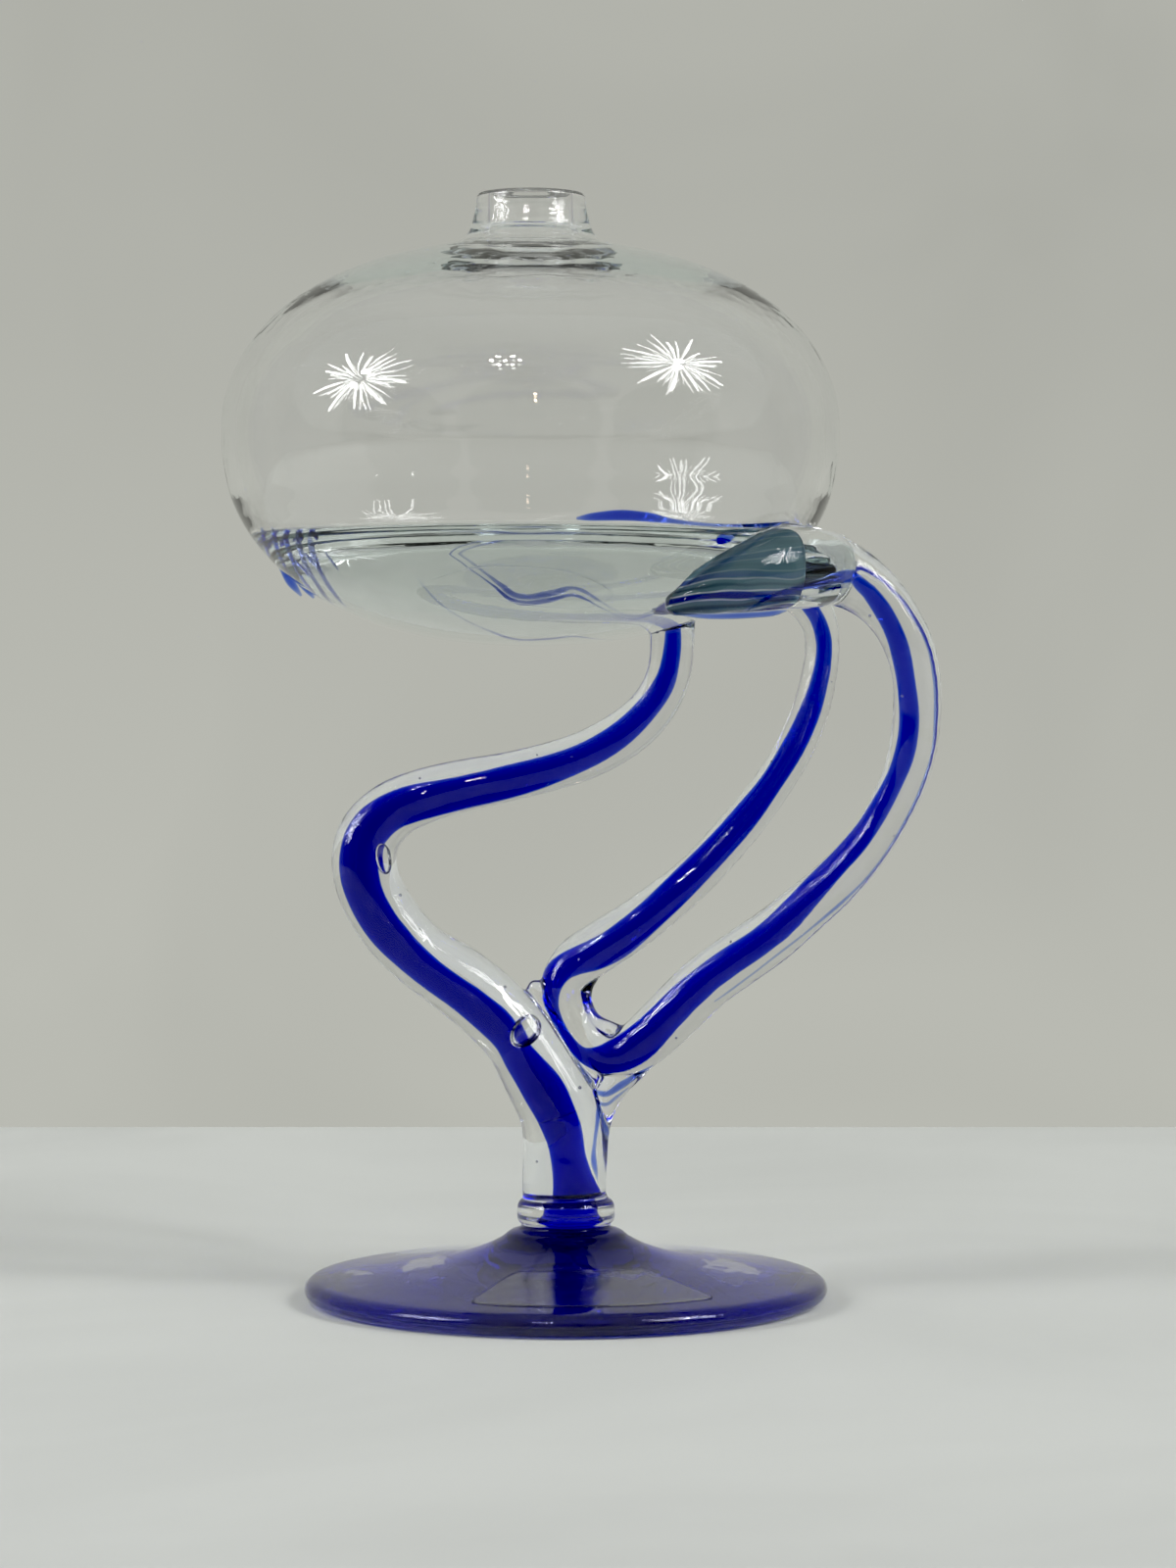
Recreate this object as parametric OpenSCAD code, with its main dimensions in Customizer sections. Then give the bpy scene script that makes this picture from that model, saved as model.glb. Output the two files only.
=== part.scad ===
// Hot-worked glass oil lamp: a hollow oblate font carried by three cased arms
// that rise and bend from one short trunk on a spun foot. Z is up, the origin
// is the middle of the foot's resting plane, and -Y is the front.

/* [Foot] */
// radius of the foot over its rounded rim
foot_r = 48; // [35:0.5:70]
// height of the foot where the stem starts
foot_h = 13; // [9:0.5:20]
// thickness of the foot's rounded rim
rim_t = 4.2; // [3:0.1:7]
// inner radius of the ring that the lamp stands on
rest_r = 37; // [25:0.5:42]
// height of the hollow under the foot, at its middle
dome_h = 2; // [0.5:0.1:4]
// thickness of the blue layer in the foot
colour_t = 1.4; // [0.8:0.1:3]

/* [Stem] */
// radius of the ring on top of the foot
boss_r = 9; // [8:0.1:12]
// height of the top of that ring
boss_top = 18.2; // [15:0.1:25]
// share of an arm's radius that its blue core takes
core_share = 0.4; // [0.2:0.01:0.6]

/* [Font] */
// distance of the font's axis left of the foot's axis
font_shift = 6.4; // [0:0.1:15]
// largest outer radius of the font
font_r = 56.5; // [40:0.5:80]
// height of the font's widest line
font_mid = 158; // [120:0.5:200]
// drop from the widest line to the font's lowest point
font_drop = 38.2; // [25:0.1:60]
// rise from the widest line to the top of the shoulder
font_rise = 35.6; // [25:0.1:60]
// squareness of the font's outline, where 2 is an ellipse
font_power = 2.2; // [2:0.05:3]
// thickness of the blown wall
wall = 2.5; // [1.5:0.1:5]
// height of the floor of the hollow
floor_z = 139; // [125:0.5:150]
// outer radius of the neck
neck_r = 9.9; // [8:0.1:20]
// radius of the hole in the neck
bore_r = 7.4; // [4:0.1:15]
// height of the neck's ground rim
neck_top = 202.4; // [195:0.1:215]

/* [Label] */
// thickness of the clear film stuck to the foot
film_t = 0.15; // [0.1:0.05:0.5]
// inner radius of the film's patch
film_in = 21; // [20:0.5:30]
// outer radius of the film's patch
film_out = 42; // [35:0.5:44]
// half of the angle that the film covers
film_half = 33; // [10:1:60]

/* [Hidden] */
SIDES = 14;
STEPS = 3;
FN = 96;
BALL_FN = 12;
SLOPE_IN = [20, 8];
SLOPE_OUT = [44, 4.6];

// route points of the trunk and left arm: x, y, z and outer radius
stem_route = [
    [-0.3, 0, 18.2, 7.7],
    [-0.3, 0, 22.5, 7.7],
    [-0.4, 0, 28.5, 7.5],
    [-1.2, 0, 34.5, 7.5],
    [-4.2, 0, 40.5, 7.2],
    [-8.4, 0, 47.5, 6.6],
    [-13.6, 0, 53.3, 6.6],
    [-19.8, -0.5, 58.4, 6.5],
    [-26.8, -1, 63.2, 6],
    [-31.6, -1.5, 68.2, 6.1],
    [-35.4, -2, 74.4, 6.1],
    [-36.9, -2, 80.2, 6],
    [-35.8, -2, 85.4, 5.8],
    [-31.8, -2, 89.7, 5.4],
    [-26.4, -2, 92.2, 5.1],
    [-19.2, -1.5, 94.2, 4.8],
    [-8.6, -1, 96.3, 4.5],
    [1.4, 0, 99, 4.5],
    [8.4, 0, 102.2, 4.5],
    [13.8, 0, 106.2, 4.3],
    [17.3, 0, 110.8, 4.1],
    [19, 0, 115.4, 4.1],
    [19.4, 0, 119.5, 4.2]
];
// how many of the route's spans belong to the trunk
TRUNK_SPANS = 3;

// route points of the cane bent into a V: from the rear pad down to the knee,
// round it and up to the right pad
vee_route = [
    [42.4, 20, 131.2, 4.4],
    [45.8, 20.5, 128, 3.8],
    [47.8, 20.5, 124, 3.4],
    [48.2, 20, 119.5, 3.3],
    [47.6, 19, 115, 3.4],
    [46.4, 17.5, 110, 3.5],
    [44.6, 16, 105, 3.6],
    [41.9, 14, 99.5, 3.6],
    [37.4, 12, 92.7, 3.7],
    [32.1, 9.5, 86.2, 3.9],
    [23.5, 7, 77, 4],
    [13.4, 5, 69, 4.5],
    [6.4, 3.5, 64.5, 4.7],
    [2, 2.6, 61.4, 4.7],
    [-0.4, 1.8, 57.4, 4.2],
    [0.8, 1, 52.6, 3.1],
    [3.3, 0.4, 48.4, 2.9],
    [6.7, 0, 45.2, 3.6],
    [10.9, -0.5, 44.9, 4.4],
    [15.5, -1, 48.3, 4.9],
    [20.3, -1.5, 53, 5.1],
    [25.7, -2, 58.2, 5.1],
    [31.4, -2.5, 62.4, 5.1],
    [37.4, -3, 66.6, 5],
    [43.1, -4, 71.4, 4.7],
    [48.2, -5, 75.9, 4.5],
    [52.6, -6, 80.6, 4.2],
    [56.3, -6.5, 85.5, 4],
    [59.3, -7.5, 90.9, 4.1],
    [61.6, -8.5, 96.3, 4.2],
    [63, -9.5, 102, 4.4],
    [63.6, -10, 108.6, 4.4],
    [63.3, -11, 114.2, 4.4],
    [62, -12, 119.3, 4.5],
    [59.6, -12, 124.2, 4.6],
    [56.3, -12, 128.3, 5],
    [52.4, -12, 131.3, 5.6],
    [48.6, -11.5, 133.1, 6.3],
    [45, -11, 134, 6.9]
];
// the span of the route where the rear arm ends and the right arm starts
VEE_SPLIT = 17;

// a smooth curve through four neighbouring route points, and its direction
function curve(a, b, c, d, t) = 0.5 * (2 * b + (c - a) * t
    + (2 * a - 5 * b + 4 * c - d) * t * t + (3 * b - a - 3 * c + d) * t * t * t);
function slope(a, b, c, d, t) = 0.5 * ((c - a)
    + 2 * (2 * a - 5 * b + 4 * c - d) * t + 3 * (3 * b - a - 3 * c + d) * t * t);
function before(p, i) = i > 0 ? p[i - 1] : 2 * p[0] - p[1];
function after(p, i) = i < len(p) ? p[i] : 2 * p[len(p) - 1] - p[len(p) - 2];
function place(p, i, t) = curve(before(p, i), p[i], after(p, i + 1), after(p, i + 2), t);
function heading(p, i, t) = slope(before(p, i), p[i], after(p, i + 1), after(p, i + 2), t);
function first3(v) = [v[0], v[1], v[2]];
function unit(v) = v / norm(v);

// one ring of points square to the route, at a share of its outer radius
function ring(at, dir, share) =
    let (side = unit(cross(dir, [0, 1, 0])), up = cross(side, dir))
    [for (k = [0:SIDES - 1]) first3(at) + at[3] * share
        * (side * cos(360 * k / SIDES) + up * sin(360 * k / SIDES))];
function rings(p, from, to, share) = [for (s = [from * STEPS:to * STEPS])
    let (i = min(floor(s / STEPS), len(p) - 2), t = s / STEPS - i)
    ring(place(p, i, t), unit(first3(heading(p, i, t))), share)];
function flat(lists) = [for (l = lists) for (v = l) v];
function skin(n, base, out) = [for (i = [0:n - 2]) for (k = [0:SIDES - 1])
    let (a = base + i * SIDES + k, b = base + i * SIDES + (k + 1) % SIDES,
        c = a + SIDES, d = b + SIDES)
    each out ? [[a, b, c], [b, d, c]] : [[a, c, b], [b, c, d]]];
function lid(outer, inner, top) = [for (k = [0:SIDES - 1])
    let (a = outer + k, b = outer + (k + 1) % SIDES,
        c = inner + k, d = inner + (k + 1) % SIDES)
    each top ? [[a, b, c], [b, d, c]] : [[a, c, b], [b, c, d]]];

// solid round bar along part of a route
module bar(p, from, to, share) {
    r = rings(p, from, to, share);
    n = len(r);
    polyhedron(points = flat(r), faces = concat(skin(n, 0, true),
        [[for (k = [SIDES - 1:-1:0]) k]],
        [[for (k = [0:SIDES - 1]) (n - 1) * SIDES + k]]), convexity = 8);
}

// clear casing along part of a route, hollow where its core lies
module casing(p, from, to) {
    r = rings(p, from, to, 1);
    c = rings(p, from, to, core_share);
    n = len(r);
    polyhedron(points = concat(flat(r), flat(c)), faces = concat(
        skin(n, 0, true), skin(n, n * SIDES, false),
        lid(0, n * SIDES, false),
        lid((n - 1) * SIDES, (2 * n - 1) * SIDES, true)), convexity = 10);
}

// soft run of glass through a few balls, each x, y, z and radius
module run(p, parts) {
    for (s = [0:(len(p) - 1) * parts - 1])
        hull() {
            ball(p, s / parts);
            ball(p, (s + 1) / parts);
        }
}
module ball(p, s) {
    i = min(floor(s), len(p) - 2);
    q = place(p, i, s - i);
    translate(first3(q))
        sphere(r = q[3], $fn = BALL_FN);
}

// points a child's z axis from one place along a direction
module aim(at, dir) {
    d = unit(dir);
    translate(at)
        rotate([0, acos(d[2]), atan2(d[1], d[0])])
            children();
}
function tip(p) = first3(p[len(p) - 1]);
function tip_dir(p) = unit(tip(p) - first3(p[len(p) - 2]));

// outline of the font: a superellipse above and below its widest line
function oval(r, h, a) = [r * pow(cos(a), 2 / font_power), h * pow(sin(a), 2 / font_power)];
function below(r, h, n) = [for (k = [0:n]) let (q = oval(r, h, 90 - 90 * k / n))
    [k == 0 ? 0 : q[0], font_mid - q[1]]];
function above(r, h, top, n) = [for (k = [1:n]) let (q = oval(r, h, top * k / n))
    [q[0], font_mid + q[1]]];
neck_join = font_mid + font_rise;
outer_line = concat(below(font_r, font_drop, 22), above(font_r, font_rise, 73, 22),
    [[14.5, neck_join - 0.1], [12.4, neck_join + 0.7], [11, neck_join + 2.2],
    [10.4, neck_join + 4.2], [neck_r, neck_top - 1], [neck_r - 0.5, neck_top]]);
side_r = font_r - wall;
side_h = font_drop - wall;
inner_line = concat(
    [[0, floor_z], [side_r - 16.7, floor_z], [side_r - 10.7, floor_z + 0.35],
    [side_r - 5.9, floor_z + 1.5], [side_r - 2.9, floor_z + 5.3]],
    [for (k = [5:-1:1]) let (q = oval(side_r, side_h, 3 * k)) [q[0], font_mid - q[1]]],
    above(side_r, font_rise - wall, 76, 20),
    [[9.3, neck_join - 1.9], [8, neck_join - 0.6], [bore_r, neck_join + 1],
    [bore_r, neck_top]]);
function backwards(v) = [for (i = [len(v) - 1:-1:0]) v[i]];

module font_solid() {
    translate([-font_shift, 0, 0])
        rotate_extrude($fn = FN)
            polygon(concat(outer_line, [[0, neck_top]]));
}
module font() {
    color([0.9, 0.95, 0.93, 0.35])
        translate([-font_shift, 0, 0])
            rotate_extrude($fn = FN)
                polygon(concat(outer_line, backwards(inner_line)));
}

// the foot's top line, its rim and the hollow underneath
function dome(r) = dome_h * (1 - r / rest_r);
function dome_line(a, b, up) = [[a, dome(a) + up], [b, dome(b) + up]];
function rim_line(n) = [for (k = [0:n]) let (a = -90 + 180 * k / n)
    [foot_r - rim_t / 2 + rim_t / 2 * cos(a), rim_t / 2 + rim_t / 2 * sin(a)]];
module foot_outline() {
    polygon(concat(dome_line(0, rest_r, 0), rim_line(12),
        [SLOPE_OUT, SLOPE_IN, [15.5, 9.7], [11.6, 11.5], [boss_r + 0.3, foot_h],
        [0, foot_h]]));
}
// the blue trumpet that joins the layer in the foot to the trunk's core
core_r = stem_route[0][3] * core_share;
colour_top = dome_h + colour_t;
module trumpet_outline(bottom, top) {
    polygon(concat(bottom, [[14, dome(14) + colour_t], [9, colour_top + 0.4],
        [5.6, 5.4], [core_r + 0.6, 9], [core_r, foot_h], [core_r, top],
        [0, top]]));
}
// windows where the blue layer is drawn apart and the clear glass shows
module windows() {
    for (w = [[-26, -21, 4, 25], [-38, -13, 3, 60], [4, 24, 6, -5], [30, 17, 5, -30],
        [14, -31, 3.4, 12], [-12, 33, 5, 10]])
        translate([w[0], w[1], -2])
            rotate([0, 0, w[3]])
                hull() {
                    translate([-w[2], 0, 0])
                        cylinder(r = w[2] * 0.6, h = 8, $fn = 24);
                    translate([w[2], 0, 0])
                        cylinder(r = w[2] * 0.4, h = 8, $fn = 24);
                }
}
module colour_layer(bottom) {
    difference() {
        rotate_extrude($fn = FN)
            polygon(concat(bottom, backwards(dome_line(14, 35, colour_t))));
        windows();
    }
}
module foot() {
    color([0.85, 0.9, 0.95, 0.35])
        difference() {
            rotate_extrude($fn = FN)
                foot_outline();
            colour_layer([[14, -1], [35, -1]]);
            rotate_extrude($fn = FN)
                trumpet_outline([[0, -1], [14, -1]], foot_h + 1);
        }
}
module foot_colour() {
    color([0.02, 0.02, 0.5])
        colour_layer(dome_line(14, 35, 0));
}
module foot_core() {
    color([0.02, 0.02, 0.5])
        rotate_extrude($fn = FN)
            trumpet_outline(dome_line(0, 14, 0), boss_top);
}
module boss() {
    mid = (foot_h + boss_top) / 2;
    half = (boss_top - foot_h) / 2;
    color([0.85, 0.9, 0.95, 0.35])
        rotate_extrude($fn = FN)
            polygon(concat([[core_r, foot_h]],
                [for (k = [0:8]) let (a = -90 + 180 * k / 8)
                    [boss_r - 0.9 + 0.9 * cos(a), mid + half * sin(a)]],
                [[core_r, boss_top]]));
}

module trunk() {
    color([0.9, 0.95, 0.93, 0.35])
        casing(stem_route, 0, TRUNK_SPANS);
}
module trunk_core() {
    color([0.02, 0.02, 0.5])
        bar(stem_route, 0, TRUNK_SPANS, core_share);
}
module left_arm() {
    color([0.9, 0.95, 0.93, 0.35])
        casing(stem_route, TRUNK_SPANS, len(stem_route) - 1);
}
module left_core() {
    color([0.02, 0.02, 0.5])
        bar(stem_route, TRUNK_SPANS, len(stem_route) - 1, core_share);
}
module rear_arm() {
    color([0.9, 0.95, 0.93, 0.35])
        casing(vee_route, 0, VEE_SPLIT);
}
module rear_core() {
    color([0.02, 0.02, 0.5])
        bar(vee_route, 0, VEE_SPLIT, core_share);
}
module right_arm() {
    color([0.9, 0.95, 0.93, 0.35])
        casing(vee_route, VEE_SPLIT, len(vee_route) - 1);
}
module right_core() {
    color([0.02, 0.02, 0.5])
        bar(vee_route, VEE_SPLIT, len(vee_route) - 1, core_share);
}
// whole arms, cut out of the glass that fills between them
module arms() {
    bar(stem_route, 0, len(stem_route) - 1, 1);
    bar(vee_route, 0, len(vee_route) - 1, 1);
}

// clear glass that fills the inside of the knee and the crease beside it
module web_run() {
    run([[7.4, 2.4, 60, 1.9], [4.6, 1.6, 57, 2.3], [4.6, 1, 53.4, 2.5],
        [6.8, 0.4, 50.6, 2.4], [10.6, -0.2, 50.6, 1.9]], 2);
    run([[-5.6, 0.4, 57, 1.6], [-3, 0.6, 53.4, 2], [-0.6, 0.4, 49.4, 2.2],
        [2, 0.2, 45, 2.4], [4, 0, 40.6, 2.2]], 1);
}
module knee_web() {
    color([0.9, 0.95, 0.93, 0.35])
        difference() {
            web_run();
            arms();
        }
}
// blue-streaked tail pulled down the trunk's side from the knee
module knee_tail() {
    color([0.1, 0.12, 0.5, 0.6])
        difference() {
            run([[14.4, -0.4, 41.8, 1.7], [10.6, -0.2, 39.6, 2.2], [7.2, 0, 36.2, 2.4],
                [6.9, 0, 31.6, 1.7], [6.9, 0, 26, 1.2]], 2);
            arms();
            web_run();
        }
}

// flared pads that join the arms to the font
module pad_shape(at, dir, r, flare, len) {
    aim(at, dir)
        cylinder(r1 = r, r2 = r + flare, h = len, $fn = FN);
}
module left_pad() {
    color([0.9, 0.95, 0.93, 0.35])
        difference() {
            pad_shape(tip(stem_route), tip_dir(stem_route), 4.2, 2.4, 9);
            font_solid();
        }
}
module rear_pad() {
    color([0.9, 0.95, 0.93, 0.35])
        difference() {
            pad_shape(tip(backwards(vee_route)), tip_dir(backwards(vee_route)), 4.4, 3.4, 13);
            font_solid();
        }
}
module right_pad() {
    color([0.85, 0.92, 0.9, 0.35])
        difference() {
            pad_shape(tip(vee_route), tip_dir(vee_route), 6.9, 3, 11);
            font_solid();
            streak_shape();
        }
}
// blue streak caught in the right pad
module streak_shape() {
    aim(tip(vee_route), tip_dir(vee_route))
        cylinder(r = 6.9 * core_share, h = 4, $fn = FN);
}
module pad_streak() {
    color([0.02, 0.02, 0.5])
        streak_shape();
}

// blue wisps on the floor of the hollow, under the font and on its left side
module floor_streak() {
    color([0.02, 0.02, 0.5])
        hull() {
            translate([6, 8, floor_z])
                cylinder(r = 2.4, h = 0.7, $fn = 24);
            translate([14, 9, floor_z])
                cylinder(r = 2, h = 0.9, $fn = 24);
            translate([26, 6, floor_z])
                cylinder(r = 0.8, h = 0.5, $fn = 24);
        }
}
// a ball just under the font's skin, at an azimuth and an angle below its widest line
function skin_ball(az, dip, r) = let (q = oval(font_r - 0.3, font_drop - 0.3, dip))
    [q[0] * cos(az) - font_shift, q[0] * sin(az), font_mid - q[1], r];
module base_streak() {
    color([0.02, 0.02, 0.5])
        difference() {
            run([for (k = [0:4]) skin_ball(-115 + 12 * k, 80.5, k == 2 ? 1.4 : 1.1)], 2);
            font_solid();
        }
}
module side_streak() {
    color([0.02, 0.02, 0.4])
        difference() {
            run([for (k = [0:4]) skin_ball(184 + 3 * k, 31 + 4.5 * k, k == 2 ? 1.4 : 1.1)], 2);
            font_solid();
        }
}

// blank clear film on the slope of the foot
function slope_z(r) = SLOPE_OUT[1] + (SLOPE_IN[1] - SLOPE_OUT[1])
    * (SLOPE_OUT[0] - r) / (SLOPE_OUT[0] - SLOPE_IN[0]);
module label_film() {
    color([0.95, 0.97, 1, 0.3])
        rotate([0, 0, -82 - film_half])
            rotate_extrude(angle = 2 * film_half, $fn = FN)
                polygon([[film_in, slope_z(film_in)], [film_out, slope_z(film_out)],
                    [film_out, slope_z(film_out) + film_t],
                    [film_in, slope_z(film_in) + film_t]]);
}

foot();
foot_colour();
foot_core();
boss();
trunk();
trunk_core();
left_arm();
left_core();
rear_arm();
rear_core();
right_arm();
right_core();
knee_web();
knee_tail();
left_pad();
rear_pad();
right_pad();
pad_streak();
font();
floor_streak();
base_streak();
side_streak();
label_film();
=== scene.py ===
import math

import bpy
import numpy as np
from mathutils import Matrix, Vector


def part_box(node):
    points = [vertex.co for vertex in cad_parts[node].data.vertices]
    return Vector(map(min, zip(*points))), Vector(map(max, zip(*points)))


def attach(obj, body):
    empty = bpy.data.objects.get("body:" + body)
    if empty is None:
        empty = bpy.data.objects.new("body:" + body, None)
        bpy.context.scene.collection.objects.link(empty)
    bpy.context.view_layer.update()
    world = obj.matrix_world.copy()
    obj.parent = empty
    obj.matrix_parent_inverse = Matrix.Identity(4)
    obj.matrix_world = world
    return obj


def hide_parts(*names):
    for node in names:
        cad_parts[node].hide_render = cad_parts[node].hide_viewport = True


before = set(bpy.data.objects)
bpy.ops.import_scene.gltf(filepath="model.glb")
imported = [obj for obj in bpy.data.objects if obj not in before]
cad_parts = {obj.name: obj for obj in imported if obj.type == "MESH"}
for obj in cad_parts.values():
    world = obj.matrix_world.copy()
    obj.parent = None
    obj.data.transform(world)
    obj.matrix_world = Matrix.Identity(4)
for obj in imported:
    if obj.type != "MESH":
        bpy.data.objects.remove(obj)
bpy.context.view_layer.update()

MM = 0.001
SCENE = bpy.context.scene

# ---------------------------------------------------------------- places read from the frame
FONT_LO, FONT_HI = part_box("font")
FOOT_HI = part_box("foot")[1]
FONT_X = (FONT_LO.x + FONT_HI.x) / 2 / MM
FONT_R = (FONT_HI.x - FONT_LO.x) / 2 / MM
NECK_TOP = FONT_HI.z / MM
FONT_BOTTOM = FONT_LO.z / MM
FOOT_R = FOOT_HI.x / MM

# font outline: a superellipse above and below its widest line
FONT_MID = FONT_BOTTOM + 38.2
FONT_DROP = FONT_MID - FONT_BOTTOM
FONT_RISE = 35.6
FONT_POWER = 2.2
# how far the arc of the upper half runs, outside and inside, before the neck takes over, in degrees
OUTER_TURN, INNER_TURN = 72, 70
# wall thickness, and how much it grows towards the neck
WALL = 2.5
WALL_GROWTH = 1.6
# inside radius of the neck
BORE_R = 7.4
# edge of the hollow's floor, height of the rounded corner round it, and the floor's dip in the middle
FLOOR_Z = 139.0
CORNER = 8.5
DISH = 8.0

# ---------------------------------------------------------------- routes, in mm: x, y, z, outer radius
STEM_ROUTE = [
    (-0.3, 0, 16.5, 7.7), (-0.3, 0, 22.5, 7.7), (-0.4, 0, 28.5, 7.5), (-1.2, 0, 34.5, 7.5),
    (-4.2, 0, 40.5, 7.2), (-8.4, 0, 47.5, 6.6), (-13.6, 0, 53.3, 6.6), (-19.8, -0.5, 58.4, 6.5),
    (-26.8, -1, 63.2, 6.0), (-31.6, -1.5, 68.2, 6.1), (-35.4, -2, 74.4, 6.1), (-36.9, -2, 80.2, 6.0),
    (-35.8, -2, 85.4, 5.8), (-31.8, -2, 89.7, 5.4), (-26.4, -2, 92.2, 5.1), (-19.2, -1.5, 94.2, 4.8),
    (-8.6, -1, 96.3, 4.5), (1.4, 0, 99, 4.5), (8.4, 0, 102.2, 4.5), (13.8, 0, 106.2, 4.3),
    (17.3, 0, 110.8, 4.1), (19, 0, 115.4, 4.1), (19.4, 0, 119.5, 4.1), (19.4, 0, 123.5, 4.3),
    (19.4, 0, 127.0, 4.8),
]
VEE_ROUTE = [
    (30.5, 17.6, 136.6, 6.6), (36, 18.8, 134.6, 5.8), (42.4, 20, 131.2, 4.4), (45.8, 20.5, 128, 3.8),
    (47.8, 20.5, 124, 3.4), (48.2, 20, 119.5, 3.3), (47.6, 19, 115, 3.4), (46.4, 17.5, 110, 3.5),
    (44.6, 16, 105, 3.6), (41.9, 14, 99.5, 3.6), (37.4, 12, 92.7, 3.7), (32.1, 9.5, 86.2, 3.9),
    (23.5, 7, 77, 4.0), (13.4, 5, 69, 4.5), (6.4, 3.5, 64.5, 4.7), (2, 2.6, 61.4, 4.7),
    (-0.4, 1.8, 57.4, 4.2), (0.8, 1, 52.6, 3.4), (3.3, 0.4, 48.4, 3.2), (6.7, 0, 45.2, 3.7),
    (10.9, -0.5, 44.9, 4.4), (15.5, -1, 48.3, 4.9), (20.3, -1.5, 53, 5.1), (25.7, -2, 58.2, 5.1),
    (31.4, -2.5, 62.4, 5.1), (37.4, -3, 66.6, 5.0), (43.1, -4, 71.4, 4.7), (48.2, -5, 75.9, 4.5),
    (52.6, -6, 80.6, 4.2), (56.3, -6.5, 85.5, 4.0), (59.3, -7.5, 90.9, 4.1), (61.6, -8.5, 96.3, 4.2),
    (63, -9.5, 102, 4.4), (63.6, -10, 108.6, 4.4), (63.3, -11, 114.2, 4.4), (62, -12, 119.3, 4.5),
    (59.6, -12, 124.2, 4.6), (56.3, -12, 128.3, 5.0), (52.4, -12, 131.3, 5.6), (48.6, -11.5, 133.1, 6.3),
    (45, -11, 134, 6.9), (40, -10.4, 134.6, 8.0), (35, -9.8, 134.4, 8.6),
]

# clear glass inside the knee, in the crease beside it, and pulled down the trunk
WEB_ROUTE = [
    (5.4, 2.4, 60.2, 1.4), (3.0, 1.6, 57, 2.0), (2.9, 1, 53.6, 2.2), (4.8, 0.4, 50.4, 2.2),
    (9.4, -0.2, 49.0, 1.5),
]
CREASE_ROUTE = [
    (-5.6, 0.4, 57, 1.6), (-3, 0.6, 53.4, 2.1), (-0.6, 0.4, 49.4, 2.5), (2, 0.2, 45, 2.8),
    (4, 0, 40.6, 2.4),
]
TAIL_ROUTE = [
    (16, -0.6, 45.4, 1.8), (12.4, -0.4, 42.7, 2.7), (9.2, -0.2, 39.6, 2.8), (7.0, 0, 35.8, 2.5),
    (6.1, 0, 31, 2.0), (5.8, 0, 25, 1.8), (5.9, 0, 20.5, 1.4),
]

# blue cores: they wander inside their casings, towards the outside of the bends
STEM_CORE = [
    (1.5, 0, 17.9, 3.1), (0.9, 0, 21.5, 2.6), (0.3, 0, 25, 2.25), (-0.2, 0, 29, 2.2),
    (-1.1, 0, 33.2, 2.4), (-3.8, 0, 38.7, 2.8), (-7.2, 0.3, 43.4, 2.2), (-9.6, 0.6, 47.2, 1.5),
    (-12.3, 0.2, 51.0, 2.3), (-20.4, -0.5, 57.5, 1.9), (-25.5, -0.9, 60.6, 1.8),
    (-32.6, -1.5, 67.3, 2.2), (-36.5, -2, 74, 2.4), (-38.05, -2, 80.2, 2.35),
    (-36.6, -2, 85.8, 2.4), (-31.9, -2, 89.9, 2.5), (-26.3, -2, 91.8, 2.2),
    (-13.8, -1.2, 94.4, 1.95), (1.6, 0, 98.3, 1.8), (11.3, 0, 103.8, 1.6), (17.3, 0, 110.8, 1.35),
    (19.1, 0, 115.4, 1.2), (19.7, 0, 121.5, 1.1), (19.4, 0, 126, 0.9),
]
# point of the route where the trunk's core ends and the left arm's starts
STEM_CORE_SPLIT = 4
VEE_CORE = [
    (33, 18.2, 135.8, 0.9), (42.4, 20, 131.2, 1.1), (45.8, 20.5, 128, 1), (48.1, 20.5, 124, 1),
    (48.6, 20, 119.5, 1), (47.9, 19, 115, 1.1), (46.6, 17.5, 110, 1.25), (44.6, 16, 105, 1.35),
    (41.8, 14, 99.5, 1.45), (37.2, 12, 92.7, 1.5), (31.9, 9.5, 86.2, 1.6), (23.3, 7, 77, 1.8),
    (13.2, 5, 68.2, 2), (8.5, 4, 64.8, 2), (4.05, 3, 62.5, 1.8), (-0.4, 2.2, 60.7, 1.8),
    (-2.6, 1.6, 57.6, 1.8), (-2.6, 1.1, 54, 1.4), (-0.9, 0.6, 49.4, 1.1), (1.8, 0.2, 45.4, 1.4),
    (5.5, -0.1, 43.7, 2), (10.9, -0.5, 44.8, 2.4), (15.2, -1, 48.2, 2.3), (19.8, -1.5, 53.2, 1.9),
    (25.4, -2, 58.6, 1.8), (31.3, -2.5, 62.8, 1.8), (37.27, -3, 66.6, 1.7), (42.63, -4, 71.9, 1.68),
    (47, -5, 76.7, 1.65), (51.4, -6, 81.4, 1.59), (55.2, -6.5, 86.1, 1.42), (58.2, -7.5, 91.3, 1.3),
    (60.8, -8.5, 96.6, 1.24), (62.4, -9.5, 102.1, 1.24), (62.7, -10, 108.6, 1.24),
    (61.9, -11, 114.7, 1.24), (60.7, -12, 120.6, 1.14), (57.1, -12.2, 126.9, 1.14),
    (53.6, -12.2, 130.6, 0.95), (50.4, -12.2, 132.5, 0.75), (47.2, -12.8, 133.1, 0.6),
    (44.5, -18, 132.4, 0.5), (41.4, -25, 131, 0.45), (38, -31, 129.2, 0.4),
    (34.5, -34.6, 127.2, 0.3), (31.6, -36, 125.4, 0.2),
]
# point of the route where the rear arm's core ends and the right arm's starts
VEE_CORE_SPLIT = 21
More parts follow.
